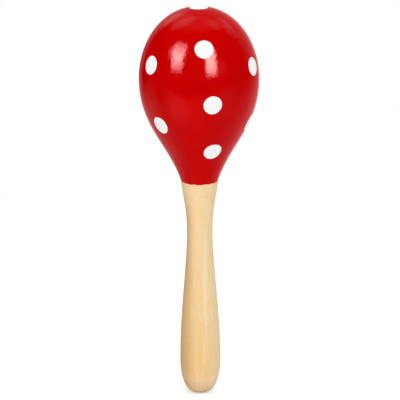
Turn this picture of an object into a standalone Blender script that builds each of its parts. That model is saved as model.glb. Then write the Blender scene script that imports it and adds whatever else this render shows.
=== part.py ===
"""A small wooden maraca: three turned pieces, glued together, with loose pellets inside.

The head is a shell bored out from below. A neck cone closes it: its spigot glues into the
shell's mouth, and its dished top is the floor of the rattle chamber. The handle's tenon glues
into a blind socket under the neck cone. The pellets lie loose on the dished floor and fly up
the chamber when the maraca is shaken.

Run it with blender --background --python part.py, or from Blender's text editor.
+Z runs up the maraca's axis, and the origin is where the hand closes round the handle.
"""

import math

import bpy
from mathutils import Vector
from mathutils.geometry import interpolate_bezier

MM = 0.001

# Lengths along the axis
HANDLE_LENGTH = 111.0 * MM
NECK_CONE_HEIGHT = 22.5 * MM
HEAD_SHELL_HEIGHT = 66.5 * MM
GRIP_ABOVE_BUTT = 45.0 * MM

# Outside of the head
BELLY_RADIUS = 30.3 * MM
BELLY_ABOVE_SEAM = 30.3 * MM
NECK_RADIUS = 9.25 * MM
NECK_LEAN = math.radians(18.0)

# Outside of the handle
SHOULDER_PROUD = 0.1 * MM
SHOULDER_CHAMFER = 0.3 * MM
SHOULDER_LEAN = math.radians(8.0)
WAIST_RADIUS = 6.55 * MM
WAIST_BELOW_SHOULDER = 26.2 * MM
SWELL_RADIUS = 10.4 * MM
SWELL_ABOVE_BUTT = 17.5 * MM
BUTT_FLAT_RADIUS = 2.5 * MM

# Fullness of the curves: how far each handle of a curve reaches along its stretch
CROWN_TOP_FULLNESS = 0.62
CROWN_SIDE_FULLNESS = 0.50
FLANK_BELLY_FULLNESS = 0.46
FLANK_NECK_FULLNESS = 0.39
THROAT_SHOULDER_FULLNESS = 0.53
THROAT_WAIST_FULLNESS = 0.41
GRIP_WAIST_FULLNESS = 0.26
GRIP_SWELL_FULLNESS = 0.39
BUTT_SIDE_FULLNESS = 0.25
BUTT_END_FULLNESS = 0.90

# Rattle chamber, bored from below with a round-nosed cutter
MOUTH_WALL = 3.8 * MM
CROWN_WALL = 12.0 * MM

# Neck cone's spigot, which fills the mouth of the shell
SPIGOT_HEIGHT = 6.0 * MM
SPIGOT_CHAMFER = 0.6 * MM
DISH_DEPTH = 2.0 * MM
DISH_RIM_WIDTH = 1.6 * MM

# Handle's tenon, in the blind socket of the neck cone
TENON_RADIUS = 6.0 * MM
TENON_LENGTH = 14.0 * MM
TENON_CHAMFER = 0.8 * MM
GLUE_WELL = 0.6 * MM

# Clearances
GLUE_GAP = 0.15 * MM
PELLET_REST_GAP = 0.3 * MM
PELLET_SIDE_GAP = 0.4 * MM

# Pellets, in hexagonal rings round the middle one
PELLET_DIAMETER = 5.0 * MM
PELLET_RINGS = 2

# Fineness of the facets
LATHE_STEPS = 48
PELLET_SEGMENTS = 12
PELLET_BANDS = 8
AXIS_MERGE = 0.00001
HALVINGS = 40

# Heights of the joints between the pieces, from the origin
BUTT_Z = -GRIP_ABOVE_BUTT
NECK_Z = BUTT_Z + HANDLE_LENGTH
SEAM_Z = NECK_Z + NECK_CONE_HEIGHT
BELLY_Z = SEAM_Z + BELLY_ABOVE_SEAM
CROWN_Z = SEAM_Z + HEAD_SHELL_HEIGHT
SPIGOT_Z = SEAM_Z + SPIGOT_HEIGHT

COLLECTION_NAME = "wooden_maraca"


def at(radius, height):
    """A point of a turned outline."""
    return Vector((radius, 0.0, height))


def along(curve, segments):
    """Points along a Bezier curve, without its first one."""
    return interpolate_bezier(*curve, segments + 1)[1:]


def arc(centre_z, radius, start, end, segments):
    """Points along an arc about a place on the axis, by angles up from level, without the first."""
    angles = (start + (end - start) * step / segments for step in range(1, segments + 1))
    return [at(radius * math.cos(a), centre_z + radius * math.sin(a)) for a in angles]


def split(curve, share):
    """The two Bezier curves that one falls into at a share of its way."""
    first, out_handle, in_handle, last = curve
    out_mid = first.lerp(out_handle, share)
    cross = out_handle.lerp(in_handle, share)
    in_mid = in_handle.lerp(last, share)
    before = out_mid.lerp(cross, share)
    after = cross.lerp(in_mid, share)
    middle = before.lerp(after, share)
    return (first, out_mid, before, middle), (middle, after, in_mid, last)


def split_at_height(curve, height):
    """A curve that runs downwards, split where it passes a height."""
    above, below = 0.0, 1.0
    for _ in range(HALVINGS):
        share = (above + below) / 2
        if split(curve, share)[0][-1].z > height:
            above = share
        else:
            below = share
    return split(curve, (above + below) / 2)


def crown_curve():
    """The dome of the head, from its pole down to the belly."""
    pole = at(0, CROWN_Z)
    belly = at(BELLY_RADIUS, BELLY_Z)
    rise = CROWN_Z - BELLY_Z
    return (
        pole,
        pole + at(BELLY_RADIUS * CROWN_TOP_FULLNESS, 0),
        belly + at(0, rise * CROWN_SIDE_FULLNESS),
        belly,
    )


def flank_curve():
    """The S-shaped flank of the head, from the belly down to the neck. The seam cuts it."""
    belly = at(BELLY_RADIUS, BELLY_Z)
    neck = at(NECK_RADIUS, NECK_Z)
    drop = BELLY_Z - NECK_Z
    lean = at(math.sin(NECK_LEAN), math.cos(NECK_LEAN))
    return (
        belly,
        belly - at(0, drop * FLANK_BELLY_FULLNESS),
        neck + lean * drop * FLANK_NECK_FULLNESS,
        neck,
    )


def chamber_radius():
    """The bore of the shell, which leaves the mouth's wall at the seam."""
    seam = split_at_height(flank_curve(), SEAM_Z)[0][-1]
    return seam.x - MOUTH_WALL


def chamber_dome_z():
    """Height of the centre of the chamber's round end."""
    return CROWN_Z - CROWN_WALL - chamber_radius()


def dish_rim_radius():
    """Edge of the chamber's dished floor, on top of the spigot."""
    return chamber_radius() - GLUE_GAP - SPIGOT_CHAMFER - DISH_RIM_WIDTH


def dish_radius():
    """Radius of the sphere that the dished floor is a cap of."""
    return (dish_rim_radius() ** 2 + DISH_DEPTH**2) / (2 * DISH_DEPTH)


def dish_centre_z():
    """Height of that sphere's centre."""
    return SPIGOT_Z - DISH_DEPTH + dish_radius()


def head_shell_outline():
    """From the pole down the outside to the seam, across the mouth and up inside the chamber."""
    bore = chamber_radius()
    dome_z = chamber_dome_z()
    upper_flank = split_at_height(flank_curve(), SEAM_Z)[0]
    outline = [at(0, CROWN_Z)]
    outline += along(crown_curve(), 16)
    outline += along(upper_flank, 9)
    outline += [at(bore, SEAM_Z), at(bore, dome_z)]
    outline += arc(dome_z, bore, 0, math.pi / 2, 9)
    return outline


def neck_cone_outline():
    """From the middle of the dish over the spigot, down the flank and up inside the socket."""
    spigot = chamber_radius() - GLUE_GAP
    socket = TENON_RADIUS + GLUE_GAP
    socket_end_z = NECK_Z + TENON_LENGTH + GLUE_WELL
    ledge_z = SEAM_Z - GLUE_GAP
    lower_flank = split_at_height(flank_curve(), ledge_z)[1]
    rim_angle = math.atan2(SPIGOT_Z - dish_centre_z(), dish_rim_radius())
    outline = [at(0, SPIGOT_Z - DISH_DEPTH)]
    outline += arc(dish_centre_z(), dish_radius(), -math.pi / 2, rim_angle, 5)
    outline += [at(spigot - SPIGOT_CHAMFER, SPIGOT_Z), at(spigot, SPIGOT_Z - SPIGOT_CHAMFER)]
    outline += [at(spigot, ledge_z), lower_flank[0]]
    outline += along(lower_flank, 9)
    outline += [at(socket, NECK_Z), at(socket, socket_end_z), at(0, socket_end_z)]
    return outline


def handle_outline():
    """From the end of the tenon over the shoulder, down the throat and the grip to the butt."""
    rim = NECK_RADIUS + SHOULDER_PROUD
    top_z = NECK_Z - GLUE_GAP
    shoulder = at(rim, top_z - SHOULDER_CHAMFER)
    waist = at(WAIST_RADIUS, NECK_Z - WAIST_BELOW_SHOULDER)
    swell = at(SWELL_RADIUS, BUTT_Z + SWELL_ABOVE_BUTT)
    flat = at(BUTT_FLAT_RADIUS, BUTT_Z)
    lean = at(math.sin(SHOULDER_LEAN), math.cos(SHOULDER_LEAN))
    throat_drop = shoulder.z - waist.z
    grip_drop = waist.z - swell.z
    butt_width = SWELL_RADIUS - BUTT_FLAT_RADIUS
    throat = (
        shoulder,
        shoulder - lean * throat_drop * THROAT_SHOULDER_FULLNESS,
        waist + at(0, throat_drop * THROAT_WAIST_FULLNESS),
        waist,
    )
    grip = (
        waist,
        waist - at(0, grip_drop * GRIP_WAIST_FULLNESS),
        swell + at(0, grip_drop * GRIP_SWELL_FULLNESS),
        swell,
    )
    butt = (
        swell,
        swell - at(0, SWELL_ABOVE_BUTT * BUTT_SIDE_FULLNESS),
        flat + at(butt_width * BUTT_END_FULLNESS, 0),
        flat,
    )
    tenon_z = NECK_Z + TENON_LENGTH
    outline = [at(0, tenon_z), at(TENON_RADIUS - TENON_CHAMFER, tenon_z)]
    outline += [at(TENON_RADIUS, tenon_z - TENON_CHAMFER), at(TENON_RADIUS, top_z)]
    outline += [at(rim - SHOULDER_CHAMFER, top_z), shoulder]
    outline += along(throat, 8) + along(grip, 12) + along(butt, 10)
    outline += [at(0, BUTT_Z)]
    return outline


def pellet_spots():
    """Where each pellet lies, seen from above: the middle one, then ring by ring."""
    pitch = PELLET_DIAMETER + PELLET_SIDE_GAP
    corners = [
        Vector((math.cos(math.radians(angle)), math.sin(math.radians(angle)))) * pitch
        for angle in range(0, 360, 60)
    ]
    spots = [Vector((0.0, 0.0))]
    for ring in range(1, PELLET_RINGS + 1):
        for start, end in zip(corners, corners[1:] + corners[:1]):
            spots += [(start * ring).lerp(end * ring, step / ring) for step in range(ring)]
    return spots


def pellet_rest_z(spot):
    """Height of a pellet's middle as it lies on the dished floor."""
    reach = dish_radius() - PELLET_DIAMETER / 2 - PELLET_REST_GAP
    return dish_centre_z() - math.sqrt(reach**2 - spot.length_squared)


def pellet_top_z(spot):
    """Height of a pellet's middle when it meets the round end of the chamber."""
    reach = chamber_radius() - PELLET_DIAMETER / 2 - PELLET_REST_GAP
    return chamber_dome_z() + math.sqrt(reach**2 - spot.length_squared)


def finish(name, colour, roughness, coat):
    """A Principled material."""
    material = bpy.data.materials.new(name)
    material.use_nodes = True
    shader = material.node_tree.nodes["Principled BSDF"]
    shader.inputs["Base Color"].default_value = (*colour, 1.0)
    shader.inputs["Roughness"].default_value = roughness
    shader.inputs["Metallic"].default_value = 0.0
    shader.inputs["Coat Weight"].default_value = coat
    return material


def place(obj, collection, parent):
    """Puts a piece in the maraca's collection, under its root."""
    collection.objects.link(obj)
    obj.parent = parent


def turned(name, outline, material):
    """A solid of revolution from an outline that starts and ends on the axis."""
    mesh = bpy.data.meshes.new(name)
    mesh.from_pydata(outline, [(i, i + 1) for i in range(len(outline) - 1)], [])
    mesh.materials.append(material)
    obj = bpy.data.objects.new(name, mesh)
    lathe = obj.modifiers.new("Lathe", "SCREW")
    lathe.steps = LATHE_STEPS
    lathe.render_steps = LATHE_STEPS
    lathe.use_merge_vertices = True
    lathe.merge_threshold = AXIS_MERGE
    lathe.use_smooth_shade = True
    return obj


def pellet_mesh(material):
    """The ball that all pellets share."""
    bpy.ops.mesh.primitive_uv_sphere_add(
        segments=PELLET_SEGMENTS, ring_count=PELLET_BANDS, radius=PELLET_DIAMETER / 2
    )
    ball = bpy.context.object
    mesh = ball.data
    mesh.name = "pellet"
    mesh.shade_smooth()
    mesh.materials.append(material)
    bpy.data.objects.remove(ball)
    return mesh


def pellet(number, spot, mesh):
    """One loose pellet on the chamber's floor, with how far it can fly up."""
    obj = bpy.data.objects.new(f"pellet_{number:02d}", mesh)
    obj.location = (spot.x, spot.y, pellet_rest_z(spot))
    obj["flight_m"] = pellet_top_z(spot) - pellet_rest_z(spot)
    return obj


def main():
    for obj in list(bpy.data.objects):
        bpy.data.objects.remove(obj)
    collection = bpy.data.collections.new(COLLECTION_NAME)
    bpy.context.scene.collection.children.link(collection)
    root = bpy.data.objects.new("maraca", None)
    collection.objects.link(root)

    red_lacquer = finish("red_lacquer", (0.57, 0.002, 0.002), roughness=0.12, coat=1.0)
    varnished_wood = finish("varnished_wood", (0.80, 0.60, 0.33), roughness=0.4, coat=0.4)
    pellet_plastic = finish("pellet_plastic", (0.70, 0.66, 0.58), roughness=0.5, coat=0.0)

    place(turned("head_shell", head_shell_outline(), red_lacquer), collection, root)
    place(turned("neck_cone", neck_cone_outline(), red_lacquer), collection, root)
    place(turned("handle", handle_outline(), varnished_wood), collection, root)

    ball = pellet_mesh(pellet_plastic)
    for number, spot in enumerate(pellet_spots(), start=1):
        obj = pellet(number, spot, ball)
        place(obj, collection, root)
        print(f"{obj.name} lies at {obj.location[:]} and flies up {obj['flight_m']:.5f} m")


main()
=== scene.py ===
"""Looks of a small wooden maraca: a red lacquered head with painted dots on a varnished handle.

The outlines of the turned pieces are read from the frame and turned again in fine steps, the dots are
laid on the head as films of paint, and every finish is made of shader nodes. Lengths are in metres,
the front is at -Y, and heights count from where the hand closes round the handle.
"""

import math
from collections import defaultdict, namedtuple

import bmesh
import bpy
from bpy.props import FloatProperty, FloatVectorProperty, PointerProperty
from mathutils import Euler, Matrix, Vector
from mathutils.bvhtree import BVHTree


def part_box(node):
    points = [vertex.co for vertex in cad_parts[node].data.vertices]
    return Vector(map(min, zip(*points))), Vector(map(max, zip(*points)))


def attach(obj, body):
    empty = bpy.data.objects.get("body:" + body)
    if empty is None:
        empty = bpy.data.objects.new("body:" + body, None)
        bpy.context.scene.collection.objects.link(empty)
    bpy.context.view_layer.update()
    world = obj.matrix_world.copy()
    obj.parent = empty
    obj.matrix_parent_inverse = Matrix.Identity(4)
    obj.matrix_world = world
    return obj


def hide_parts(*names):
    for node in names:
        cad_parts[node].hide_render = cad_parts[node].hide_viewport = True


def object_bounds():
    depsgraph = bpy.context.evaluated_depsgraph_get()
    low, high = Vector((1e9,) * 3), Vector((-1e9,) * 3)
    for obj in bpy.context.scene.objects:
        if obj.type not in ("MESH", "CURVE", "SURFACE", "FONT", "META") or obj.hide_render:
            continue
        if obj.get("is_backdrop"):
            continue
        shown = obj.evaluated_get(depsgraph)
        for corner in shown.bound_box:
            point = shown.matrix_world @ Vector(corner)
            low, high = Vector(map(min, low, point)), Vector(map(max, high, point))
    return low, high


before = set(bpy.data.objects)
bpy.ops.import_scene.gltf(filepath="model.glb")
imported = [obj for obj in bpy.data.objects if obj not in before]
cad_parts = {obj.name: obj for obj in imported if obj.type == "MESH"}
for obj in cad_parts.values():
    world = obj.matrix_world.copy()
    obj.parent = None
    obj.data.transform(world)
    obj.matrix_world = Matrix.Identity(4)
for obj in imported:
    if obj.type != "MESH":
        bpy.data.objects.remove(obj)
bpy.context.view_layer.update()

bl_info = {
    "name": "Wooden maraca",
    "version": (1, 0, 0),
    "blender": (4, 5, 0),
    "location": "View3D > Sidebar > Maraca",
    "description": "Builds the finished pieces of a small wooden maraca around its frame",
    "category": "Object",
}

MM = 0.001
# Places closer than this are the same place.
TOUCH = 0.001 * MM
# The body that the turned pieces and the dots ride on
SHAKER = "maraca"
SEAM_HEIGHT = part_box("head_shell")[0].z
NECK_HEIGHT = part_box("neck_cone")[0].z
BUTT_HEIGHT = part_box("handle")[0].z
WHITE = (1, 1, 1)


# Settings that a user would change


def length(name, description, default):
    """A length that shows in the panel."""
    return FloatProperty(
        name=name, description=description, default=default, min=0, unit="LENGTH", precision=5
    )


def share(name, description, default):
    """A value from 0 to 1 that shows in the panel."""
    return FloatProperty(
        name=name, description=description, default=default, min=0, max=1, subtype="FACTOR"
    )


def angle(name, description, degrees):
    """An angle that shows in the panel."""
    return FloatProperty(
        name=name, description=description, default=math.radians(degrees), subtype="ANGLE"
    )


def colour(name, description, default):
    """A colour that shows in the panel."""
    return FloatVectorProperty(
        name=name, description=description, default=default, min=0, max=1, size=3, subtype="COLOR"
    )


class LacquerSettings(bpy.types.PropertyGroup):
    """The red lacquer of the head."""

    red: colour("Red", "Colour of the lacquer", (0.605, 0.0002, 0.0002))
    deep_red: colour("Deep red", "Colour where the lacquer lies thicker", (0.575, 0.0001, 0.0001))
    gleam: colour("Gleam", "Tint of what the lacquer mirrors", (1.0, 0.5, 0.5))
    rim: colour("Rim", "Tint of the glow where the lacquer turns away", (1.0, 0.0, 0.0))
    # The pale line below the lacquer's edge is a painted highlight along the joint.
    edge_highlight: colour("Primer", "Colour of the pale line painted as a highlight below the lacquer", (0.93, 0.80, 0.62))
    dull: share("Roughness", "Roughness where the lacquer flowed out well", 0.05)
    dullest: share("Duller roughness", "Roughness where the lacquer dried early", 0.07)
    peel_size: length("Peel size", "Width of the small bumps of sprayed lacquer", 1.05 * MM)
    peel_height: length("Peel height", "Height of those bumps", 0.062 * MM)
    wave_size: length("Wave size", "Width of the slow waves left by sanding", 9.0 * MM)
    wave_height: length("Wave height", "Height of those waves", 0.10 * MM)
    seam_depth: length("Seam depth", "Depth of the line where shell and neck are glued", 0.10 * MM)
    seam_width: length("Seam width", "Half width of that line", 0.35 * MM)
    edge_sag: length("Edge sag", "How far the lower edge of the lacquer sags in front", 0.30 * MM)
    edge_rise: length("Edge rise", "How far that edge rises at the sides", 0.30 * MM)
    edge_wander: length("Edge wander", "How far that edge wanders", 0.60 * MM)
    # Width of that painted highlight line.
    edge_highlight_width: length("Edge highlight width", "Width of the painted highlight line below that edge", 0.28 * MM)


class DotSettings(bpy.types.PropertyGroup):
    """The white dots on the head."""

    white: colour("White", "Colour of the dots", (0.930, 0.930, 0.930))
    speck: colour("Speck", "Colour of dust under the paint", (0.700, 0.700, 0.700))
    dull: share("Roughness", "Roughness of the paint", 0.40)
    diameter: length("Diameter", "Diameter of a dot", 9.36 * MM)
    thickness: length("Thickness", "Thickness of the paint film", 0.09 * MM)
    crown_offset: length("Crown offset", "How far the top dot lies in front of the axis", 2.3 * MM)
    upper_turn: angle("Upper turn", "Angle from the front to the first dot of the upper ring", 6.3)
    upper_high: length("Upper ring, high", "Height of its higher dots over the grip", 136.6 * MM)
    upper_low: length("Upper ring, low", "Height of its lower dots over the grip", 127.2 * MM)
    lower_turn: angle("Lower turn", "Angle from the front to the first dot of the lower ring", 14.0)
    lower_high: length("Lower ring, high", "Height of its higher dots over the grip", 109.5 * MM)
    lower_low: length("Lower ring, low", "Height of its lower dots over the grip", 98.0 * MM)
    neck_turn: angle("Neck turn", "Angle from the front to the first dot of the neck ring", 21.3)
    neck_height: length("Neck ring", "Height of the neck dots over the grip", 84.5 * MM)


class HandleSettings(bpy.types.PropertyGroup):
    """The varnished wood of the handle and the bare wood inside."""

    pale: colour("Pale wood", "Colour of the early wood", (0.968, 0.785, 0.527))
    tan: colour("Tan wood", "Colour of the late wood", (0.950, 0.673, 0.332))
    darker_left: colour("Darker left", "Tint of the darker wood towards the left", (0.710, 0.580, 0.480))
    pore: colour("Pores", "Colour of the pores", (0.700, 0.400, 0.160))
    # Painted shade: the butt is tinted darker where it faces down.
    butt_shade: colour("Butt shade", "Tint of the painted shade on the butt, where it faces down", (0.895, 0.915, 0.990))
    honey: colour("Honey varnish", "Tint of the varnish low on the grip", (0.950, 0.870, 0.690))
    dull: share("Roughness", "Roughness of the varnish", 0.30)
    dullest: share("Duller roughness", "Roughness of the varnish over open grain", 0.42)
    coat: share("Coat", "Share of the clear coat over the varnish", 0.35)
    fibre_width: length("Fibre width", "Width of the fibres", 0.45 * MM)
    fibre_length: length("Fibre length", "Length of the fibres", 7.0 * MM)
    speckle_size: length("Speckle size", "Width of the fine speckles", 0.60 * MM)


class BeadSettings(bpy.types.PropertyGroup):
    """The loose pellets inside the head."""

    plastic: colour("Plastic", "Colour of the pellets", (0.720, 0.680, 0.590))
    shade: colour("Shade", "Colour of the darker clouds in the plastic", (0.600, 0.555, 0.465))
    dull: share("Roughness", "Roughness of the plastic", 0.48)
    flash: length("Flash", "Height of the moulding line round a pellet", 0.03 * MM)


class StageSettings(bpy.types.PropertyGroup):
    """Floor, light and camera."""

    floor: colour("Floor", "Colour of the floor", (0.85, 0.85, 0.85))
    fill: share("Fill", "Light from the room all round", 0.605)
    distance: length("Camera distance", "From the camera to the point it looks at", 1.0)
    elevation: angle("Camera elevation", "Angle of the camera above level", 12.0)
    roll: angle("Camera roll", "Turn of the camera round its own axis", -0.27)
    lens: FloatProperty(name="Lens", description="Focal length", default=176.9, min=1, unit="CAMERA")
    aim: FloatVectorProperty(
        name="Aim", description="Point that the camera looks at", default=(0.0002, 0, 0.0562), size=3,
        subtype="XYZ", unit="LENGTH",
    )


# Outlines of the turned pieces

# A sharper bend than this is a corner.
CORNER = math.radians(30)
OUTLINE_STEP = 0.55 * MM
TURN_STEPS = 192
# Decimals to which the points of an outline and of a turned mesh are told apart
OUTLINE_DIGITS = 7
RING_DIGITS = 8


def turned_outline(node):
    """The outline of a turned CAD node, from its upper end to its lower one, as (radius, height)."""
    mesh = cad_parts[node].data
    places = {}
    for vertex in mesh.vertices:
        x, y, z = vertex.co
        if abs(y) < TOUCH and x > -TOUCH:
            places[vertex.index] = (round(max(x, 0), OUTLINE_DIGITS), round(z, OUTLINE_DIGITS))
    linked = defaultdict(set)
    for edge in mesh.edges:
        first, second = (places.get(index) for index in edge.vertices)
        if first and second and first != second:
            linked[first].add(second)
            linked[second].add(first)
    ends = [place for place, others in linked.items() if len(others) == 1]
    here = max(ends, key=lambda place: place[1])
    outline = [Vector(here)]
    left = set(places.values()) - {here}
    while left:
        onward = (linked[here] & left) or left
        here = min(onward, key=lambda place: math.dist(place, outline[-1]))
        left.remove(here)
        outline.append(Vector(here))
    for place, end in ((0, outline[0]), (len(outline) + 1, outline[-1])):
        if end.x > TOUCH:
            outline.insert(place, Vector((0, end.y)))
    return outline


def runs_between_corners(outline):
    """The outline split at its sharp corners, into runs that share their end points."""
    runs = [[outline[0]]]
    for before, here, after in zip(outline, outline[1:], outline[2:]):
        runs[-1].append(here)
        if (here - before).angle(after - here) > CORNER:
            runs.append([here])
    runs[-1].append(outline[-1])
    return runs


def tangent(before, here, after):
    """The slope of the curve through three points, at the middle one, per unit of length."""
    first = (here - before).length
    second = (after - here).length
    return ((here - before) / first * second + (after - here) / second * first) / (first + second)


def smooth_run(run):
    """A smooth curve through a run's points, in fine steps.

    It goes on past an end on the axis as its own mirror image, and past other ends as a parabola.
    """
    if len(run) < 3:
        return list(run)
    ghosts = []
    for end, inner, second in ((run[0], run[1], run[2]), (run[-1], run[-2], run[-3])):
        if end.x < TOUCH:
            ghosts.append(Vector((-inner.x, inner.y)))
        else:
            ghosts.append(3 * end - 3 * inner + second)
    points = [ghosts[0], *run, ghosts[1]]
    curve = [run[0]]
    for a, b, c, d in zip(points, points[1:], points[2:], points[3:]):
        span = (c - b).length
        leave = tangent(a, b, c) * span
        arrive = tangent(b, c, d) * span
        pieces = max(1, math.ceil(span / OUTLINE_STEP))
        for number in range(1, pieces + 1):
            t = number / pieces
            curve.append(
                b * (1 + 2 * t) * (1 - t) ** 2
                + leave * t * (1 - t) ** 2
                + c * t * t * (3 - 2 * t)
                + arrive * t * t * (t - 1)
            )
    return curve


def smooth_runs(node):
    """The smooth runs of a turned CAD node's outline."""
    return [smooth_run(run) for run in runs_between_corners(turned_outline(node))]


def turned_mesh(name, runs, skins):
    """A mesh turned from runs of an outline, each with the number of its material slot in skins."""
    vertices = []
    faces = []
    slots = []
    rings = {}

    def ring(point):
        """The vertices of one turn of a point, made once."""
        key = (round(point.x, RING_DIGITS), round(point.y, RING_DIGITS))
        if key not in rings:
            count = 1 if point.x < TOUCH else TURN_STEPS
            turns = [math.tau * number / TURN_STEPS for number in range(count)]
            rings[key] = [len(vertices) + number for number in range(count)]
            vertices.extend((point.x * math.cos(t), point.x * math.sin(t), point.y) for t in turns)
        return rings[key]

    for run, skin in zip(runs, skins):
        for upper, lower in zip(map(ring, run), map(ring, run[1:])):
            for number in range(TURN_STEPS):
                after = (number + 1) % TURN_STEPS
                corners = [upper[number % len(upper)], lower[number % len(lower)]]
                corners += [lower[after % len(lower)], upper[after % len(upper)]]
                faces.append(tuple(dict.fromkeys(corners)))
                slots.append(skin)
    mesh = bpy.data.meshes.new(name)
    mesh.from_pydata(vertices, [], faces)
    mesh.polygons.foreach_set("material_index", slots)
    mesh.validate()
    mesh.shade_smooth()
    mesh.set_sharp_from_angle(angle=CORNER)
    return mesh


def add_piece(name, mesh, materials):
    """A piece of the finished maraca, in the frame."""
    piece = bpy.data.objects.new(name, mesh)
    bpy.context.scene.collection.objects.link(piece)
    for material in materials:
        mesh.materials.append(material)
    return piece


# Shader building


def add_node(tree, kind, inputs=None, **settings):
    """A shader node with its settings made, and its inputs set or linked."""
    node = tree.nodes.new("ShaderNode" + kind)
    for name, value in settings.items():
        setattr(node, name, value)
    for name, value in (inputs or {}).items():
        socket = node.inputs[name]
        if isinstance(value, bpy.types.NodeSocket):
            tree.links.new(value, socket)
        elif socket.type == "RGBA":
            socket.default_value = (*value, 1)
        else:
            socket.default_value = value
    return node


def calculate(tree, operation, first, second=0.0, third=0.0):
    """The result of a Math node."""
    return add_node(tree, "Math", {0: first, 1: second, 2: third}, operation=operation).outputs[0]


def product(tree, first, *others):
    """Values multiplied with each other."""
    for value in others:
        first = calculate(tree, "MULTIPLY", first, value)
    return first


def weigh(tree, parts):
    """The sum of values, each times its weight."""
    total = 0.0
    for value, weight in parts:
        total = calculate(tree, "MULTIPLY_ADD", value, weight, total)
    return total


def measure(tree, operation, first, second):
    """The number that a Vector Math node gives, such as a distance."""
    return add_node(tree, "VectorMath", {0: first, 1: second}, operation=operation).outputs["Value"]


def blend_colours(tree, factor, first, second, blend_type="MIX"):
    """Two colours mixed by a factor. A Mix node has its colours at sockets 6 and 7 and at output 2."""
    inputs = {0: factor, 6: first, 7: second}
    return add_node(tree, "Mix", inputs, data_type="RGBA", blend_type=blend_type).outputs[2]


def tint(tree, first, second):
    """Two colours multiplied with each other."""
    return blend_colours(tree, 1.0, first, second, "MULTIPLY")


def spread(tree, value, low, high, start=0.0, end=1.0):
    """A value between low and high, spread smoothly from start to end."""
    inputs = {"Value": value, "From Min": low, "From Max": high, "To Min": start, "To Max": end}
    return add_node(tree, "MapRange", inputs, interpolation_type="SMOOTHSTEP").outputs[0]


def cloud(tree, places, size, detail, roughness):
    """Soft noise from 0 to 1 over places, whose clouds are of that size."""
    scale = calculate(tree, "DIVIDE", 1, size)
    inputs = {"Vector": places, "Scale": scale, "Detail": detail, "Roughness": roughness}
    return add_node(tree, "TexNoise", inputs).outputs[0]


def object_places(tree):
    """Places on the piece, in the frame."""
    return add_node(tree, "TexCoord").outputs["Object"]


def new_group(name, inputs, outputs):
    """A shader node group with number or colour sockets, and its input and output nodes."""
    group = bpy.data.node_groups.new(name, "ShaderNodeTree")
    for names, way in ((inputs, "INPUT"), (outputs, "OUTPUT")):
        for socket_name, kind in names.items():
            group.interface.new_socket(socket_name, in_out=way, socket_type="NodeSocket" + kind)
    source = group.nodes.new("NodeGroupInput")
    result = group.nodes.new("NodeGroupOutput")
    return group, source.outputs, result.inputs


def use_group(tree, group, inputs):
    """A group placed in a material, with its own values."""
    node = add_node(tree, "Group", node_tree=group)
    for name, value in inputs.items():
        socket = node.inputs[name]
        socket.default_value = (*value, 1) if socket.type == "RGBA" else value
    return node.outputs


# Effects that several finishes use

# Detail and roughness of each noise, and the value that noise swings round
FILM_NOISE = (1.0, 0.5)
CLOUD_NOISE = (4.0, 0.6)
FIBRE_NOISE = (3.0, 0.62)
FIGURE_NOISE = (2.0, 0.55)
SPECKLE_NOISE = (1.0, 0.5)
BLOTCH_NOISE = (2.0, 0.5)
PORE_NOISE = (1.0, 0.5)
EDGE_NOISE = (1.0, 0.5)
DUST_NOISE = (1.0, 0.5)
CLUTTER_NOISE = (2.0, 0.5)
NOISE_MIDDLE = 0.5

# Size of the wood's fibres, figure and pores, counted in fibres, and of its blotches
FIBRE = 1.0
FIGURE_FIBRES = 5.0
PORE_FIBRES = 0.8
BLOTCH_SIZE = 5.0 * MM
# How much each part of the grain and of the painted highlight counts, and the sums at which the wood is pale
# and tan
FIBRE_SHARE = 0.70
SPECKLE_SHARE = 0.85
FIGURE_SHARE = 0.60
BLOTCH_SHARE = 0.45
PALER_RIGHT_SHARE = 0.42
HIGHLIGHT_SHARE = 0.55
TONE = (0.86, 1.46)
# Noise at which a pore sets in and is full, and how dark it is
PORES = (0.64, 0.74)
PORE_SHARE = 0.15
# The wood is paler towards the right, and this fades towards the neck.
PALER_RIGHT = (2.0 * MM, 10.0 * MM)
PALER_RIGHT_TOP = (62.0 * MM, 5.0 * MM)
PALER_RIGHT_AT_TOP = 0.1
# The wood is darker towards the left; that darkening wanders, and fades towards the neck and the butt.
DARKER_LEFT = (0.3 * MM, -7.6 * MM)
DARKER_LEFT_WANDER = 3.0 * MM
DARKER_LEFT_TOP = (62 * MM, 44 * MM)
DARKER_LEFT_AT_TOP = 0.15
DARKER_LEFT_FOOT = (0, 25 * MM)
DARKER_LEFT_AT_FOOT = 0.66
# A painted highlight: a pale streak down the front, right of the middle, broken where the figure is strong.
HIGHLIGHT_PLACE = 2.4 * MM
HIGHLIGHT_WIDTH = 2.0 * MM
HIGHLIGHT_TOP = (48.0 * MM, 18.0 * MM)
HIGHLIGHT_FOOT = (-40.0 * MM, -10.0 * MM)
HIGHLIGHT_BREAK = (0.78, 0.48)

# The lower edge of the lacquer: width of its waves, its softness, and the neck's radius there
EDGE_WAVE = 2.6 * MM
EDGE_BLUR = 0.06 * MM
NECK_RADIUS = 9.3 * MM


def sprayed_film():
    """The node group for the surface of a sprayed film: small bumps on slow waves, and soft clouds."""
    name = "Sprayed film"
    if name in bpy.data.node_groups:
        return bpy.data.node_groups[name]
    sizes = ("Peel Size", "Peel Height", "Wave Size", "Wave Height")
    group, given, result = new_group(
        name, {size: "Float" for size in sizes}, {"Height": "Float", "Clouds": "Float"}
    )
    places = object_places(group)
    peel = cloud(group, places, given["Peel Size"], *FILM_NOISE)
    waves = cloud(group, places, given["Wave Size"], *FILM_NOISE)
    peel_height = calculate(group, "MULTIPLY", peel, given["Peel Height"])
    height = calculate(group, "MULTIPLY_ADD", waves, given["Wave Height"], peel_height)
    clouds = cloud(group, places, given["Wave Size"], *CLOUD_NOISE)
    group.links.new(height, result["Height"])
    group.links.new(clouds, result["Clouds"])
    return group


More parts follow.
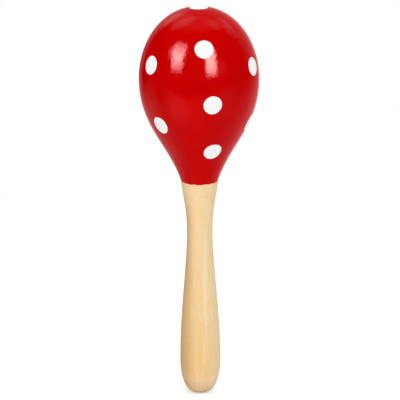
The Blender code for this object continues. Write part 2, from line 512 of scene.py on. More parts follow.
def turned_wood():
    """The node group for pale turned wood with its grain along the axis and a painted highlight in front."""
    name = "Turned wood"
    if name in bpy.data.node_groups:
        return bpy.data.node_groups[name]
    sockets = {colour_name: "Color" for colour_name in ("Pale", "Tan", "Heart", "Pore")}
    sockets |= {size: "Float" for size in ("Fibre Width", "Fibre Length", "Speckle Size")}
    group, given, result = new_group(name, sockets, {"Color": "Color", "Grain": "Float", "Height": "Float"})
    places = object_places(group)
    across, depth, height = add_node(group, "SeparateXYZ", {0: places}).outputs
    width = given["Fibre Width"]
    cell = add_node(group, "CombineXYZ", {"X": width, "Y": width, "Z": given["Fibre Length"]}).outputs[0]
    along = add_node(group, "VectorMath", {0: places, 1: cell}, operation="DIVIDE").outputs[0]
    fibres = cloud(group, along, FIBRE, *FIBRE_NOISE)
    figure = cloud(group, along, FIGURE_FIBRES, *FIGURE_NOISE)
    speckle = cloud(group, places, given["Speckle Size"], *SPECKLE_NOISE)
    blotches = cloud(group, places, BLOTCH_SIZE, *BLOTCH_NOISE)
    pores = spread(group, cloud(group, along, PORE_FIBRES, *PORE_NOISE), *PORES)
    # Paler towards the right side.
    paler_right = product(
        group,
        spread(group, across, *PALER_RIGHT),
        spread(group, height, *PALER_RIGHT_TOP, PALER_RIGHT_AT_TOP, 1),
    )
    # Painted highlight: a pale streak down the front, right of the middle, fading up and down.
    from_highlight = calculate(group, "ABSOLUTE", calculate(group, "SUBTRACT", across, HIGHLIGHT_PLACE))
    painted_highlight = product(
        group,
        spread(group, from_highlight, HIGHLIGHT_WIDTH, 0.0),
        spread(group, depth, 0, -HIGHLIGHT_PLACE),
        spread(group, height, *HIGHLIGHT_TOP),
        spread(group, height, *HIGHLIGHT_FOOT),
        spread(group, figure, *HIGHLIGHT_BREAK),
    )
    # The grain, with the painted highlight streak added to it.
    grain_and_highlight = weigh(group, (
        (fibres, FIBRE_SHARE), (speckle, SPECKLE_SHARE), (figure, FIGURE_SHARE), (blotches, BLOTCH_SHARE),
        (paler_right, -PALER_RIGHT_SHARE), (painted_highlight, -HIGHLIGHT_SHARE),
    ))
    tone = spread(group, grain_and_highlight, *TONE)
    wood = blend_colours(group, tone, given["Pale"], given["Tan"])
    # Darker towards the left side.
    wavering = calculate(group, "MULTIPLY_ADD", blotches, DARKER_LEFT_WANDER, across)
    darker_left = product(
        group,
        spread(group, wavering, *DARKER_LEFT),
        spread(group, height, *DARKER_LEFT_TOP, DARKER_LEFT_AT_TOP, 1),
        spread(group, height, *DARKER_LEFT_FOOT, DARKER_LEFT_AT_FOOT, 1),
    )
    wood = blend_colours(group, darker_left, wood, tint(group, wood, given["Heart"]))
    dark = calculate(group, "MULTIPLY", pores, PORE_SHARE)
    group.links.new(blend_colours(group, dark, wood, given["Pore"]), result["Color"])
    group.links.new(tone, result["Grain"])
    group.links.new(calculate(group, "SUBTRACT", fibres, pores), result["Height"])
    return group


def paint_edge():
    """The node group for the lower edge of the lacquer, with a pale line below it that is a painted
    highlight.
    """
    name = "Paint edge"
    if name in bpy.data.node_groups:
        return bpy.data.node_groups[name]
    sizes = ("Sag", "Rise", "Wander", "Primer Width")
    outputs = {"Painted": "Float", "Primer": "Float"}
    group, given, result = new_group(name, {size: "Float" for size in sizes}, outputs)
    places = object_places(group)
    _, depth, height = add_node(group, "SeparateXYZ", {0: places}).outputs
    forward = calculate(group, "DIVIDE", depth, NECK_RADIUS)
    forward = calculate(group, "MULTIPLY", forward, forward)
    swing = calculate(group, "ADD", given["Sag"], given["Rise"])
    over = calculate(group, "SUBTRACT", height, NECK_HEIGHT)
    over = calculate(group, "SUBTRACT", over, given["Rise"])
    over = calculate(group, "MULTIPLY_ADD", forward, swing, over)
    noise = calculate(group, "SUBTRACT", cloud(group, places, EDGE_WAVE, *EDGE_NOISE), NOISE_MIDDLE)
    over = calculate(group, "MULTIPLY_ADD", noise, given["Wander"], over)
    # The pale line below the edge is a painted highlight.
    over_highlight = calculate(group, "ADD", over, given["Primer Width"])
    group.links.new(spread(group, over, -EDGE_BLUR, EDGE_BLUR), result["Painted"])
    group.links.new(spread(group, over_highlight, -EDGE_BLUR, EDGE_BLUR), result["Primer"])
    return group


def film_inputs(peel_size, peel_height, wave_size, wave_height):
    """The sprayed film group's values."""
    return {
        "Peel Size": peel_size, "Peel Height": peel_height,
        "Wave Size": wave_size, "Wave Height": wave_height,
    }


def wood_inputs(wood):
    """The wood group's values from the settings."""
    return {
        "Pale": wood.pale, "Tan": wood.tan, "Heart": wood.darker_left, "Pore": wood.pore,
        "Fibre Width": wood.fibre_width, "Fibre Length": wood.fibre_length, "Speckle Size": wood.speckle_size,
    }


def edge_inputs(lacquer):
    """The paint edge group's values from the settings."""
    return {
        "Sag": lacquer.edge_sag, "Rise": lacquer.edge_rise,
        "Wander": lacquer.edge_wander, "Primer Width": lacquer.edge_highlight_width,
    }


# Finishes

# Clouds between which the lacquer is deeper red, and duller, and its gloss and glow
LACQUER_DEPTH = (0.3, 0.7)
LACQUER_DULLING = (0.35, 0.75)
LACQUER_GLEAM = 1.0
RIM_GLOW = 0.7
RIM_ROUGHNESS = 0.3

# Width and height of a film's small bumps, and of its slow waves
DOT_FILM = (0.9 * MM, 0.006 * MM, 4.0 * MM, 0.02 * MM)
VARNISH_FILM = (1.0 * MM, 0.004 * MM, 9.0 * MM, 0.03 * MM)
BEAD_FILM = (0.3 * MM, 0.004 * MM, 2.0 * MM, 0.02 * MM)

# Specks of dust under the dots' paint, and one grey smudge on the neck's dot in front
DUST_SIZE = 1.1 * MM
DUST = (0.74, 0.80)
DUST_SHARE = 0.6
SMUDGE_PLACE = Vector((7.7, -17.1, 85.1)) * MM
SMUDGE_REACH = 1.2 * MM
SMUDGE_SHARE = 0.65
# Clouds between which the dots' paint is thinner, and duller, and its low gloss and chalky look
DOT_THINNING = (0.4, 0.8)
DOT_THIN_SHARE = 0.03
DOT_DULLING = (0.3, 0.7)
DOT_DULLER = 0.08
DOT_GLEAM = 0.04
DOT_CHALK = 0.8

# Clouds between which the clear coat is fuller, its thin share, and its roughness
COAT_FILLING = (0.2, 0.8)
COAT_THIN_SHARE = 0.7
COAT_ROUGHNESS = 0.16
# The varnish is worn over this length above the butt.
WORN_LENGTH = 17.0 * MM
# How far the surface faces down where the painted shade on the butt sets in, and where it is full
BUTT_SHADE_FACING = (-0.18, -0.37)
# Height of the fibres under varnish, and on bare wood
FIBRE_RELIEF = 0.006 * MM
BARE_RELIEF = 0.02 * MM
BARE_ROUGHNESS = (0.6, 0.8)

# Clouds between which the pellets' plastic is darker, and duller
BEAD_SHADING = (0.3, 0.7)
BEAD_DULLING = (0.2, 0.8)
BEAD_DULLER = 0.12


def new_material(name):
    """A material with its Principled shader."""
    material = bpy.data.materials.new(name)
    material.use_nodes = True
    tree = material.node_tree
    return material, tree, tree.nodes["Principled BSDF"].inputs


def set_bump(tree, shader, height):
    """The shader's normal, bent by a height in metres."""
    bump = add_node(tree, "Bump", {"Height": height, "Distance": 1.0, "Strength": 1.0})
    tree.links.new(bump.outputs[0], shader["Normal"])


def with_paint_edge(tree, lacquer, wood, red):
    """The red lacquer down to its lower edge, then a pale line painted as a highlight, and wood below."""
    edge = use_group(tree, paint_edge(), edge_inputs(lacquer))
    # The pale line is a painted highlight along the joint.
    below = blend_colours(tree, edge["Primer"], wood, lacquer.edge_highlight)
    return blend_colours(tree, edge["Painted"], below, red)


def lacquer_material(scene):
    """Glossy red lacquer that ends in a wandering edge at the neck, with wood below it."""
    name = "Red lacquer"
    if name in bpy.data.materials:
        return bpy.data.materials[name]
    lacquer = scene.maraca_lacquer
    material, tree, shader = new_material(name)
    sizes = film_inputs(lacquer.peel_size, lacquer.peel_height, lacquer.wave_size, lacquer.wave_height)
    film = use_group(tree, sprayed_film(), sizes)
    wood = use_group(tree, turned_wood(), wood_inputs(scene.maraca_handle))
    red = blend_colours(tree, spread(tree, film["Clouds"], *LACQUER_DEPTH), lacquer.red, lacquer.deep_red)
    tree.links.new(with_paint_edge(tree, lacquer, wood["Color"], red), shader["Base Color"])
    gloss = spread(tree, film["Clouds"], *LACQUER_DULLING, lacquer.dull, lacquer.dullest)
    tree.links.new(gloss, shader["Roughness"])
    shader["Specular IOR Level"].default_value = LACQUER_GLEAM
    shader["Specular Tint"].default_value = (*lacquer.gleam, 1)
    shader["Sheen Weight"].default_value = RIM_GLOW
    shader["Sheen Roughness"].default_value = RIM_ROUGHNESS
    shader["Sheen Tint"].default_value = (*lacquer.rim, 1)
    set_bump(tree, shader, film["Height"])
    return material


def dot_material(scene):
    """White paint with a few specks of dust under it."""
    dots = scene.maraca_dots
    material, tree, shader = new_material("Dot paint")
    film = use_group(tree, sprayed_film(), film_inputs(*DOT_FILM))
    places = object_places(tree)
    dust = spread(tree, cloud(tree, places, DUST_SIZE, *DUST_NOISE), *DUST, 0, DUST_SHARE)
    from_smudge = measure(tree, "DISTANCE", places, SMUDGE_PLACE)
    smudge = spread(tree, from_smudge, SMUDGE_REACH, 0, 0, SMUDGE_SHARE)
    thin = spread(tree, film["Clouds"], *DOT_THINNING, 0, DOT_THIN_SHARE)
    white = blend_colours(tree, thin, dots.white, dots.speck)
    grey = calculate(tree, "MAXIMUM", dust, smudge)
    tree.links.new(blend_colours(tree, grey, white, dots.speck), shader["Base Color"])
    gloss = spread(tree, film["Clouds"], *DOT_DULLING, dots.dull, dots.dull + DOT_DULLER)
    tree.links.new(gloss, shader["Roughness"])
    shader["Specular IOR Level"].default_value = DOT_GLEAM
    shader["Diffuse Roughness"].default_value = DOT_CHALK
    set_bump(tree, shader, film["Height"])
    return material


def varnished_wood_material(scene):
    """Pale fine-grained wood under clear varnish, warmer low on the grip, with painted shade on the butt."""
    wood = scene.maraca_handle
    lacquer = scene.maraca_lacquer
    material, tree, shader = new_material("Varnished wood")
    grain_and_highlight = use_group(tree, turned_wood(), wood_inputs(wood))
    film = use_group(tree, sprayed_film(), film_inputs(*VARNISH_FILM))
    height = add_node(tree, "SeparateXYZ", {0: object_places(tree)}).outputs["Z"]
    warmth = product(
        tree,
        spread(tree, height, NECK_HEIGHT, BUTT_HEIGHT),
        spread(tree, height, BUTT_HEIGHT, BUTT_HEIGHT + WORN_LENGTH),
    )
    wood_colour = tint(tree, grain_and_highlight["Color"], blend_colours(tree, warmth, WHITE, wood.honey))
    # Painted shade: the butt turns darker where it faces down.
    outward = add_node(tree, "TexCoord").outputs["Normal"]
    upward = add_node(tree, "SeparateXYZ", {0: outward}).outputs["Z"]
    butt_shade = blend_colours(tree, spread(tree, upward, *BUTT_SHADE_FACING), WHITE, wood.butt_shade)
    wood_colour = tint(tree, wood_colour, butt_shade)
    tree.links.new(with_paint_edge(tree, lacquer, wood_colour, lacquer.red), shader["Base Color"])
    tree.links.new(spread(tree, grain_and_highlight["Grain"], 0, 1, wood.dull, wood.dullest), shader["Roughness"])
    coat = spread(tree, film["Clouds"], *COAT_FILLING, COAT_THIN_SHARE * wood.coat, wood.coat)
    tree.links.new(coat, shader["Coat Weight"])
    shader["Coat Roughness"].default_value = COAT_ROUGHNESS
    fibre_height = calculate(tree, "MULTIPLY", grain_and_highlight["Height"], FIBRE_RELIEF)
    set_bump(tree, shader, calculate(tree, "ADD", film["Height"], fibre_height))
    return material


def bare_wood_material(scene):
    """Bare sawn wood inside the head and on the glued faces."""
    name = "Bare wood"
    if name in bpy.data.materials:
        return bpy.data.materials[name]
    material, tree, shader = new_material(name)
    grain_and_highlight = use_group(tree, turned_wood(), wood_inputs(scene.maraca_handle))
    tree.links.new(grain_and_highlight["Color"], shader["Base Color"])
    tree.links.new(spread(tree, grain_and_highlight["Grain"], 0, 1, *BARE_ROUGHNESS), shader["Roughness"])
    set_bump(tree, shader, calculate(tree, "MULTIPLY", grain_and_highlight["Height"], BARE_RELIEF))
    return material


def bead_material(scene):
    """Matt moulded plastic with soft clouds in its colour."""
    beads = scene.maraca_beads
    material, tree, shader = new_material("Pellet plastic")
    film = use_group(tree, sprayed_film(), film_inputs(*BEAD_FILM))
    clouds = spread(tree, film["Clouds"], *BEAD_SHADING)
    tree.links.new(blend_colours(tree, clouds, beads.plastic, beads.shade), shader["Base Color"])
    gloss = spread(tree, film["Clouds"], *BEAD_DULLING, beads.dull, beads.dull + BEAD_DULLER)
    tree.links.new(gloss, shader["Roughness"])
    set_bump(tree, shader, film["Height"])
    return material


# Turned pieces

# Material slots of a turned piece
PAINTED = 0
BARE = 1
# Close points lie up to this many half widths of the seam's line away from it.
SEAM_REACH = 4
SEAM_PIECES = 5


def groove(run, depth, width):
    """A painted run with the glue line pressed into it at the seam's height."""
    sunk = []
    for point in run:
        away = (point.y - SEAM_HEIGHT) / width
        sunk.append(Vector((point.x - depth * math.exp(-away * away), point.y)))
    return sunk


def with_seam_points(run, width):
    """A painted run with close points near the seam."""
    dense = [run[0]]
    for before, after in zip(run, run[1:]):
        near = min(abs(before.y - SEAM_HEIGHT), abs(after.y - SEAM_HEIGHT)) < SEAM_REACH * width
        pieces = SEAM_PIECES if near else 1
        dense.extend(before.lerp(after, number / pieces) for number in range(1, pieces + 1))
    return dense


class MARACA_OT_shell(bpy.types.Operator):
    """Turn the lacquered shell of the head, with its bore"""

    bl_idname = "maraca.shell"
    bl_label = "Head shell"

    def execute(self, context):
        lacquer = context.scene.maraca_lacquer
        runs = smooth_runs("head_shell")
        outside = with_seam_points(runs[0], lacquer.seam_width)
        runs[0] = groove(outside, lacquer.seam_depth, lacquer.seam_width)
        runs[1][0] = runs[0][-1]
        skins = [PAINTED] + [BARE] * (len(runs) - 1)
        materials = [lacquer_material(context.scene), bare_wood_material(context.scene)]
        piece = add_piece("lacquered_shell", turned_mesh("lacquered_shell", runs, skins), materials)
        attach(piece, SHAKER)
        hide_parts("head_shell")
        return {"FINISHED"}


class MARACA_OT_neck(bpy.types.Operator):
    """Turn the lacquered neck of the head, with its spigot and socket"""

    bl_idname = "maraca.neck"
    bl_label = "Neck cone"

    def execute(self, context):
        lacquer = context.scene.maraca_lacquer
        runs = smooth_runs("neck_cone")
        # The flank is the longest run down. It goes up over the glue gap, to meet the shell.
        flank = max(range(len(runs)), key=lambda number: runs[number][0].y - runs[number][-1].y)
        slope = (runs[flank][0] - runs[flank][1]).normalized()
        top = runs[flank][0] + slope * ((SEAM_HEIGHT - runs[flank][0].y) / slope.y)
        outside = with_seam_points([top, *runs[flank]], lacquer.seam_width)
        runs[flank] = groove(outside, lacquer.seam_depth, lacquer.seam_width)
        ledge = runs[flank - 1]
        runs[flank - 1] = [Vector((ledge[0].x, SEAM_HEIGHT)), runs[flank][0]]
        runs[flank - 2][-1] = runs[flank - 1][0]
        skins = [BARE] * len(runs)
        skins[flank] = PAINTED
        materials = [lacquer_material(context.scene), bare_wood_material(context.scene)]
        piece = add_piece("lacquered_neck", turned_mesh("lacquered_neck", runs, skins), materials)
        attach(piece, SHAKER)
        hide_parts("neck_cone")
        return {"FINISHED"}


class MARACA_OT_handle(bpy.types.Operator):
    """Turn the varnished handle, with its tenon"""

    bl_idname = "maraca.handle"
    bl_label = "Handle"

    def execute(self, context):
        runs = smooth_runs("handle")
        # The seat goes up over the glue gap, to meet the neck.
        tenon, seat, chamfer, outside = runs[-4:]
        seat_height = seat[-1].y
        for run in (tenon, seat, chamfer):
            run[:] = [Vector((p.x, NECK_HEIGHT)) if abs(p.y - seat_height) < TOUCH else p for p in run]
        skins = [PAINTED if run is chamfer or run is outside else BARE for run in runs]
        materials = [varnished_wood_material(context.scene), bare_wood_material(context.scene)]
        piece = add_piece("varnished_handle", turned_mesh("varnished_handle", runs, skins), materials)
        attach(piece, SHAKER)
        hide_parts("handle")
        return {"FINISHED"}


# Dots

UPPER_DOTS = 6
LOWER_DOTS = 6
NECK_DOTS = 3
# Where the hand-set dots sit off their even places: degrees to the right, and height
DOT_SHIFTS = {
    "dot_upper_1": (-0.7, 0.2 * MM),
    "dot_upper_2": (-1.2, -0.8 * MM),
    "dot_upper_6": (-0.5, 0.7 * MM),
    "dot_lower_1": (-0.8, 0),
    "dot_lower_2": (4.0, -1.0 * MM),
    "dot_lower_6": (-2.2, -0.3 * MM),
    "dot_neck_1": (0, -0.2 * MM),
}
DOT_RINGS = 10
DOT_TURNS = 48
# The higher this power, the squarer the paint's edge
DOT_EDGE = 12
# How far a dot reaches into the lacquer
DOT_ROOT = 0.03 * MM
# A dot is not quite round: waves round its rim, their height, and how they shift from dot to dot
DOT_WOBBLES = ((2, 0.008, 1.0), (3, 0.006, 2.3))
# A dot that faces further up than this is laid out from the front, and others from above.
DOT_ON_TOP = 0.9


def painted_skin():
    """The painted outside of the head, to lay the dots on."""
    vertices = []
    faces = []
    for name in ("lacquered_shell", "lacquered_neck"):
        mesh = bpy.data.objects[name].data
        first = len(vertices)
        vertices.extend(vertex.co.copy() for vertex in mesh.vertices)
        for polygon in mesh.polygons:
            if polygon.material_index == PAINTED:
                faces.append([first + index for index in polygon.vertices])
    return BVHTree.FromPolygons(vertices, faces)


def dot_mesh(name, skin, centre, normal, radius, thickness, seed):
    """A closed film of paint on the skin, nearly round and with a rounded edge."""
    across = normal.cross(Vector((0, 0, 1)) if abs(normal.z) < DOT_ON_TOP else Vector((0, 1, 0)))
    across.normalize()
    along = normal.cross(across)
    vertices = []
    faces = []

    def laid(distance, turn, height):
        """A vertex over the skin."""
        wobble = sum(rise * math.sin(waves * turn + shift * seed) for waves, rise, shift in DOT_WOBBLES)
        flat = centre + distance * (1 + wobble) * (math.cos(turn) * across + math.sin(turn) * along)
        place, outward, _, _ = skin.find_nearest(flat)
        vertices.append(place + outward * height)

    sheets = []
    for side in (1, -1):
        start = len(vertices)
        laid(0, 0, thickness if side > 0 else -DOT_ROOT)
        for number in range(1, DOT_RINGS + 1):
            share_out = math.sin(math.pi / 2 * number / DOT_RINGS)
            rise = thickness * math.sqrt(max(0, 1 - share_out ** DOT_EDGE)) if side > 0 else -DOT_ROOT
            for turn in range(DOT_TURNS):
                laid(radius * share_out, math.tau * turn / DOT_TURNS, rise)
        sheets.append(start)

    def ring(start, number):
        """The vertices of one ring of a sheet."""
        if number == 0:
            return [start] * DOT_TURNS
        return [start + 1 + (number - 1) * DOT_TURNS + turn for turn in range(DOT_TURNS)]

    upper, lower = sheets
    strips = [(ring(upper, n), ring(upper, n + 1)) for n in range(DOT_RINGS)]
    strips.append((ring(upper, DOT_RINGS), ring(lower, DOT_RINGS)))
    strips += [(ring(lower, n + 1), ring(lower, n)) for n in reversed(range(DOT_RINGS))]
    for inner, outer in strips:
        for turn in range(DOT_TURNS):
            after = (turn + 1) % DOT_TURNS
            faces.append(tuple(dict.fromkeys((inner[turn], outer[turn], outer[after], inner[after]))))
    mesh = bpy.data.meshes.new(name)
    mesh.from_pydata(vertices, [], faces)
    body = bmesh.new()
    body.from_mesh(mesh)
    bmesh.ops.recalc_face_normals(body, faces=body.faces)
    body.to_mesh(mesh)
    body.free()
    mesh.shade_smooth()
    return mesh


class MARACA_OT_dots(bpy.types.Operator):
    """Paint the white dots on the head"""

    bl_idname = "maraca.dots"
    bl_label = "Dots"

    def execute(self, context):
        dots = context.scene.maraca_dots
        skin = painted_skin()
        material = dot_material(context.scene)
        rays = [("dot_crown", Vector((0, -dots.crown_offset, SEAM_HEIGHT)), Vector((0, 0, 1)))]
        rings = [
            ("dot_upper", UPPER_DOTS, dots.upper_turn, dots.upper_high, dots.upper_low),
            ("dot_lower", LOWER_DOTS, dots.lower_turn, dots.lower_high, dots.lower_low),
            ("dot_neck", NECK_DOTS, dots.neck_turn, dots.neck_height, dots.neck_height),
        ]
        for name, count, first, high, low in rings:
            for number in range(count):
                dot = f"{name}_{number + 1}"
                aside, lift = DOT_SHIFTS.get(dot, (0, 0))
                turn = first + math.tau * number / count + math.radians(aside)
                height = (low if number % 2 else high) + lift
                outward = Vector((math.sin(turn), -math.cos(turn), 0))
                rays.append((dot, Vector((0, 0, height)), outward))
        for seed, (name, start, outward) in enumerate(rays):
            centre, normal, _, _ = skin.ray_cast(start, outward)
            mesh = dot_mesh(name, skin, centre, normal, dots.diameter / 2, dots.thickness, seed)
            piece = add_piece(name, mesh, [material])
            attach(piece, SHAKER)
        return {"FINISHED"}


# Pellets

BEAD_SUBDIVISIONS = 4
# Width of the moulding line, and place of the flat, as shares of the radius
BEAD_LINE = 0.05
BEAD_FLAT = 0.97
# How each bead is turned against the one before it, round each axis
BEAD_SPIN = (0.7, 1.1, 1.9)


def bead_mesh(name, centre, radius, flash, number):
    """A moulded bead: a ball with a fine moulding line and a flat where it was cut from its runner."""
    body = bmesh.new()
    bmesh.ops.create_icosphere(body, subdivisions=BEAD_SUBDIVISIONS, radius=1)
    spin = Euler([number * turn for turn in BEAD_SPIN]).to_matrix()
    for vertex in body.verts:
        level = vertex.co.z / BEAD_LINE
        reach = radius - flash + flash * math.exp(-level * level)
        place = vertex.co * reach
        place.x = min(place.x, radius * BEAD_FLAT)
        vertex.co = centre + spin @ place
    mesh = bpy.data.meshes.new(name)
    body.to_mesh(mesh)
    body.free()
    mesh.shade_smooth()
    return mesh


class MARACA_OT_beads(bpy.types.Operator):
    """Fill the head with its loose pellets"""

    bl_idname = "maraca.beads"
    bl_label = "Pellets"

    def execute(self, context):
        beads = context.scene.maraca_beads
        material = bead_material(context.scene)
        nodes = sorted(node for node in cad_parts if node.startswith("pellet_"))
        for number, node in enumerate(nodes):
            low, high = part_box(node)
            radius = min(high - low) / 2
            name = node.replace("pellet", "bead")
            mesh = bead_mesh(name, (low + high) / 2, radius, beads.flash, number)
            piece = add_piece(name, mesh, [material])
            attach(piece, node)
            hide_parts(node)
        return {"FINISHED"}


# Stage

# Angles are in degrees: azimuths from the front towards the right, elevations from level.
Lamp = namedtuple("Lamp", "name azimuth elevation width height radiance roll", defaults=(0,))
# A soft round glow, which darkens where its radiance is negative
Glow = namedtuple("Glow", "azimuth elevation reach radiance")

HEAD_MIDDLE = Vector((0, 0, 0.12))
LAMP_DISTANCE = 1.0
# The softboxes that the lacquer mirrors, each with its cores as shares of its width and height
SOFTBOXES = {
    Lamp("left_softbox", -45.6, 28.0, 0.43, 0.70, 10.3, 6): (
        (1.0, 1.0), (0.95, 0.80), (0.88, 0.55), (0.75, 0.33), (0.40, 0.19),
    ),
    Lamp("right_softbox", 24, 23.3, 0.38, 0.68, 11.4, -1): (
        (1.0, 1.0), (0.98, 0.88), (0.96, 0.74), (0.90, 0.53), (0.70, 0.26),
    ),
}
CORE_GAP = 0.02
# The lamps that light matt colours
LIGHTS = (
    Lamp("left_light", -47, 22, 0.56, 0.68, 2.00),
    Lamp("right_light", 26, 16, 0.44, 0.64, 2.00),
    Lamp("ceiling_light", 180, 80, 1.25, 0.68, 1.2),
)
# How the plain fill light slopes: more from the right, from the front and from above
FILL_SLOPE = (0.13, -0.13, 0.06)

# The room that gloss sees: a dark front, soft glows, and a dark gap across the ceiling
ROOM_FRONT = 0.002
ROOM = (
    Glow(163, 12, 62, 0.18),
    Glow(182, 77, 36, 0.14),
    Glow(-131, 61, 21, 0.39),
    Glow(108, 66, 14, 0.25),
    Glow(129, 47, 14, 0.31),
    Glow(-150, 35, 15, 0.50),
    Glow(-172, 0, 42, 0.16),
    Glow(-62, 31, 9, 2.4),
    Glow(180, -12, 24, 0.6),
    Glow(43, 14, 12, 0.15),
    Glow(150, -8, 16, 0.07),
    Glow(158, 6, 20, 0.13),
    Glow(-164, -3, 16, -0.22),
    Glow(118, 40, 13, 0.28),
)
ROOM_BLUE = 1.08
CEILING_GAP = 61
CEILING_GAP_WIDTH = 0.09
CEILING_GAP_SHADE = 0.8
# The table in that room: its light in front and behind, where that changes, and how it sets in below
TABLE_LIGHT = 0.062
TABLE_LIGHT_BEHIND = 0.25
TABLE_DEPTH = (-0.32, 0.77)
TABLE_FALL = (-0.03, -0.45)
TABLE_GLOWS = (
    Glow(-47, -33, 24, 0.11),
    Glow(55, -26, 26, 0.05),
    Glow(-85, -18, 10, -0.06),
    Glow(-130, -9, 18, -0.04),
)
# The edge of the table drops towards the front, and clutter stands on it.
TABLE_TURN = -12
TABLE_DROP = 20
TABLE_EDGE = 0.014
CLUTTER_SIZE = 0.25
CLUTTER_HEIGHT = 0.3
# The shade on the table straight under the head
UNDERSIDE = (-0.96, -0.76)
UNDERSIDE_SHADE = 0.8
# The red that the table and the wall behind take on from the head
TABLE_CASTS = (Glow(-30, -24, 46, 0.66), Glow(5, -64, 40, 0.24))
BACK_CASTS = (Glow(152, -8, 48, 0.22), Glow(159, 9, 20, -0.16))

FLOOR_REACH = 0.5
FLOOR_TURNS = 96
# The glow that makes the floor look white to the camera
FLOOR_LIFT = 0.36


def direction(azimuth, elevation):
    """The direction at an azimuth from the front, towards the right, and an elevation, in degrees."""
    turn = math.radians(azimuth)
    rise = math.radians(elevation)
    return Vector((math.sin(turn) * math.cos(rise), -math.cos(turn) * math.cos(rise), math.sin(rise)))


def add_lamp(scene, lamp, gloss, farther=0.0):
    """A soft lamp that faces the head, seen either by gloss alone or by matt surfaces alone."""
    data = bpy.data.lights.new(lamp.name, "AREA")
    data.shape = "RECTANGLE"
    data.size = lamp.width
    data.size_y = lamp.height
    data.energy = lamp.radiance * math.pi * lamp.width * lamp.height
    box = bpy.data.objects.new(lamp.name, data)
    towards = direction(lamp.azimuth, lamp.elevation)
    box.location = HEAD_MIDDLE + (LAMP_DISTANCE + farther) * towards
    turn = towards.to_track_quat("Z", "Y").to_matrix() @ Matrix.Rotation(math.radians(lamp.roll), 3, "Z")
    box.rotation_euler = turn.to_euler()
    box.visible_camera = False
    box.visible_diffuse = not gloss
    box.visible_glossy = gloss
    scene.collection.objects.link(box)


def add_softbox(scene, softbox, cores):
    """A softbox that is brightest in its middle, as lamps one behind the other."""
    for width, height in cores:
        core = softbox._replace(
            width=width * softbox.width,
            height=height * softbox.height,
            radiance=softbox.radiance / len(cores),
        )
        add_lamp(scene, core, gloss=True, farther=CORE_GAP * height)


def add_floor(scene, stage):
    """A pale floor under the handle, which looks white and keeps the shadow."""
    disc = bmesh.new()
    bmesh.ops.create_circle(disc, cap_ends=True, segments=FLOOR_TURNS, radius=FLOOR_REACH)
    mesh = bpy.data.meshes.new("floor")
    disc.to_mesh(mesh)
    disc.free()
    floor = bpy.data.objects.new("floor", mesh)
    floor.location.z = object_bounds()[0].z
    floor.visible_glossy = False
    scene.collection.objects.link(floor)
    material = bpy.data.materials.new("Floor")
    material.use_nodes = True
    material.cycles.emission_sampling = "NONE"
    tree = material.node_tree
    tree.nodes.clear()
    path = add_node(tree, "LightPath").outputs
    matt = add_node(tree, "BsdfDiffuse", {"Color": stage.floor}).outputs[0]
    seen = calculate(tree, "MAXIMUM", path["Is Camera Ray"], path["Is Transmission Ray"])
    lift = calculate(tree, "MULTIPLY", seen, FLOOR_LIFT)
    glow = add_node(tree, "Emission", {"Color": WHITE, "Strength": lift}).outputs[0]
    whole = add_node(tree, "AddShader", {0: matt, 1: glow}).outputs[0]
    add_node(tree, "OutputMaterial", {"Surface": whole})
    floor.data.materials.append(material)
    floor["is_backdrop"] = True


def facing(tree, ray, azimuth, elevation):
    """How far a ray points in a direction, from -1 to 1."""
    return measure(tree, "DOT_PRODUCT", ray, direction(azimuth, elevation))


def add_glows(tree, ray, light, glows):
    """Light in a ray's direction, with soft round glows added."""
    for glow in glows:
        near = facing(tree, ray, glow.azimuth, glow.elevation)
        edge = math.cos(math.radians(glow.reach))
        light = calculate(tree, "ADD", light, spread(tree, near, edge, 1, 0, glow.radiance))
    return light


def room_light(tree, ray):
    """What gloss sees of the room in a ray's direction: a dark front, a pale table and soft glows."""
    _, behind, above = add_node(tree, "SeparateXYZ", {0: ray}).outputs
    table = product(
        tree,
        spread(tree, behind, *TABLE_DEPTH, TABLE_LIGHT, TABLE_LIGHT_BEHIND),
        spread(tree, above, *TABLE_FALL),
        spread(tree, above, *UNDERSIDE, UNDERSIDE_SHADE, 1),
    )
    table = add_glows(tree, ray, table, TABLE_GLOWS)
    over_edge = facing(tree, ray, TABLE_TURN, 90 - TABLE_DROP)
    clutter = calculate(tree, "SUBTRACT", cloud(tree, ray, CLUTTER_SIZE, *CLUTTER_NOISE), NOISE_MIDDLE)
    over_edge = calculate(tree, "MULTIPLY_ADD", clutter, CLUTTER_HEIGHT, over_edge)
    on_table = spread(tree, over_edge, TABLE_EDGE, -TABLE_EDGE)
    table = calculate(tree, "MULTIPLY", table, on_table)
    room = add_glows(tree, ray, ROOM_FRONT, ROOM)
    from_gap = calculate(tree, "ABSOLUTE", facing(tree, ray, 180, CEILING_GAP - 90))
    shade = spread(tree, from_gap, 0, CEILING_GAP_WIDTH, 1 - CEILING_GAP_SHADE, 1)
    light = calculate(tree, "MULTIPLY_ADD", room, shade, table)
    cast = calculate(tree, "MULTIPLY", add_glows(tree, ray, 0.0, TABLE_CASTS), on_table)
    red = calculate(tree, "ADD", light, add_glows(tree, ray, cast, BACK_CASTS))
    blue = calculate(tree, "MULTIPLY", light, ROOM_BLUE)
    return add_node(tree, "CombineColor", {"Red": red, "Green": light, "Blue": blue}).outputs[0]


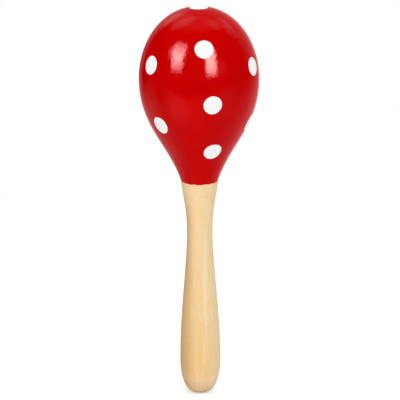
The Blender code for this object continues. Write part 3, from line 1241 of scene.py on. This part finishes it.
def add_world(scene, stage):
    """A white backdrop, a plain fill light, and a room for gloss to mirror."""
    world = bpy.data.worlds.new("Studio")
    world.use_nodes = True
    world.cycles.sampling_method = "NONE"
    tree = world.node_tree
    tree.nodes.clear()
    path = add_node(tree, "LightPath").outputs
    seen = calculate(tree, "MAXIMUM", path["Is Camera Ray"], path["Is Transmission Ray"])
    ray = add_node(tree, "TexCoord").outputs["Generated"]
    fill = calculate(tree, "ADD", measure(tree, "DOT_PRODUCT", ray, FILL_SLOPE), stage.fill)
    light = blend_colours(tree, path["Is Glossy Ray"], fill, room_light(tree, ray))
    light = blend_colours(tree, seen, light, WHITE)
    back = add_node(tree, "Background", {"Color": light, "Strength": 1}).outputs[0]
    add_node(tree, "OutputWorld", {"Surface": back})
    scene.world = world


def add_camera(scene, stage):
    """The camera, at the photograph's viewing angle."""
    data = bpy.data.cameras.new("camera")
    data.lens = stage.lens
    camera = bpy.data.objects.new("camera", data)
    towards = direction(0, math.degrees(stage.elevation))
    turn = towards.to_track_quat("Z", "Y").to_matrix() @ Matrix.Rotation(stage.roll, 3, "Z")
    camera.location = Vector(stage.aim) + stage.distance * towards
    camera.rotation_euler = turn.to_euler()
    scene.collection.objects.link(camera)
    scene.camera = camera


class MARACA_OT_stage(bpy.types.Operator):
    """Set the floor, the lamps, the backdrop and the camera"""

    bl_idname = "maraca.stage"
    bl_label = "Stage"

    def execute(self, context):
        scene = context.scene
        stage = scene.maraca_stage
        scene.view_settings.view_transform = "Standard"
        add_floor(scene, stage)
        add_world(scene, stage)
        for lamp in LIGHTS:
            add_lamp(scene, lamp, gloss=False)
        for softbox, cores in SOFTBOXES.items():
            add_softbox(scene, softbox, cores)
        add_camera(scene, stage)
        return {"FINISHED"}


# Panel, and the run as a script

SETTINGS = {
    "maraca_lacquer": LacquerSettings,
    "maraca_dots": DotSettings,
    "maraca_handle": HandleSettings,
    "maraca_beads": BeadSettings,
    "maraca_stage": StageSettings,
}
OPERATORS = (
    MARACA_OT_shell,
    MARACA_OT_neck,
    MARACA_OT_handle,
    MARACA_OT_dots,
    MARACA_OT_beads,
    MARACA_OT_stage,
)


class MARACA_PT_panel(bpy.types.Panel):
    """The maraca's pieces and settings"""

    bl_idname = "MARACA_PT_panel"
    bl_label = "Maraca"
    bl_space_type = "VIEW_3D"
    bl_region_type = "UI"
    bl_category = "Maraca"

    def draw(self, context):
        for operator in OPERATORS:
            self.layout.operator(operator.bl_idname)
        for name in SETTINGS:
            settings = getattr(context.scene, name)
            box = self.layout.box()
            for prop in settings.bl_rna.properties:
                if prop.identifier not in ("rna_type", "name"):
                    box.prop(settings, prop.identifier)


CLASSES = (*SETTINGS.values(), *OPERATORS, MARACA_PT_panel)


def register():
    """Make the classes and settings known to Blender."""
    for known in CLASSES:
        bpy.utils.register_class(known)
    for name, settings in SETTINGS.items():
        setattr(bpy.types.Scene, name, PointerProperty(type=settings))


def unregister():
    """Take the settings and classes away again."""
    for name in SETTINGS:
        delattr(bpy.types.Scene, name)
    for known in reversed(CLASSES):
        bpy.utils.unregister_class(known)


def main():
    """Build the maraca and its stage."""
    register()
    bpy.ops.maraca.shell()
    bpy.ops.maraca.neck()
    bpy.ops.maraca.handle()
    bpy.ops.maraca.dots()
    bpy.ops.maraca.beads()
    bpy.ops.maraca.stage()


if __name__ == "__main__":
    main()
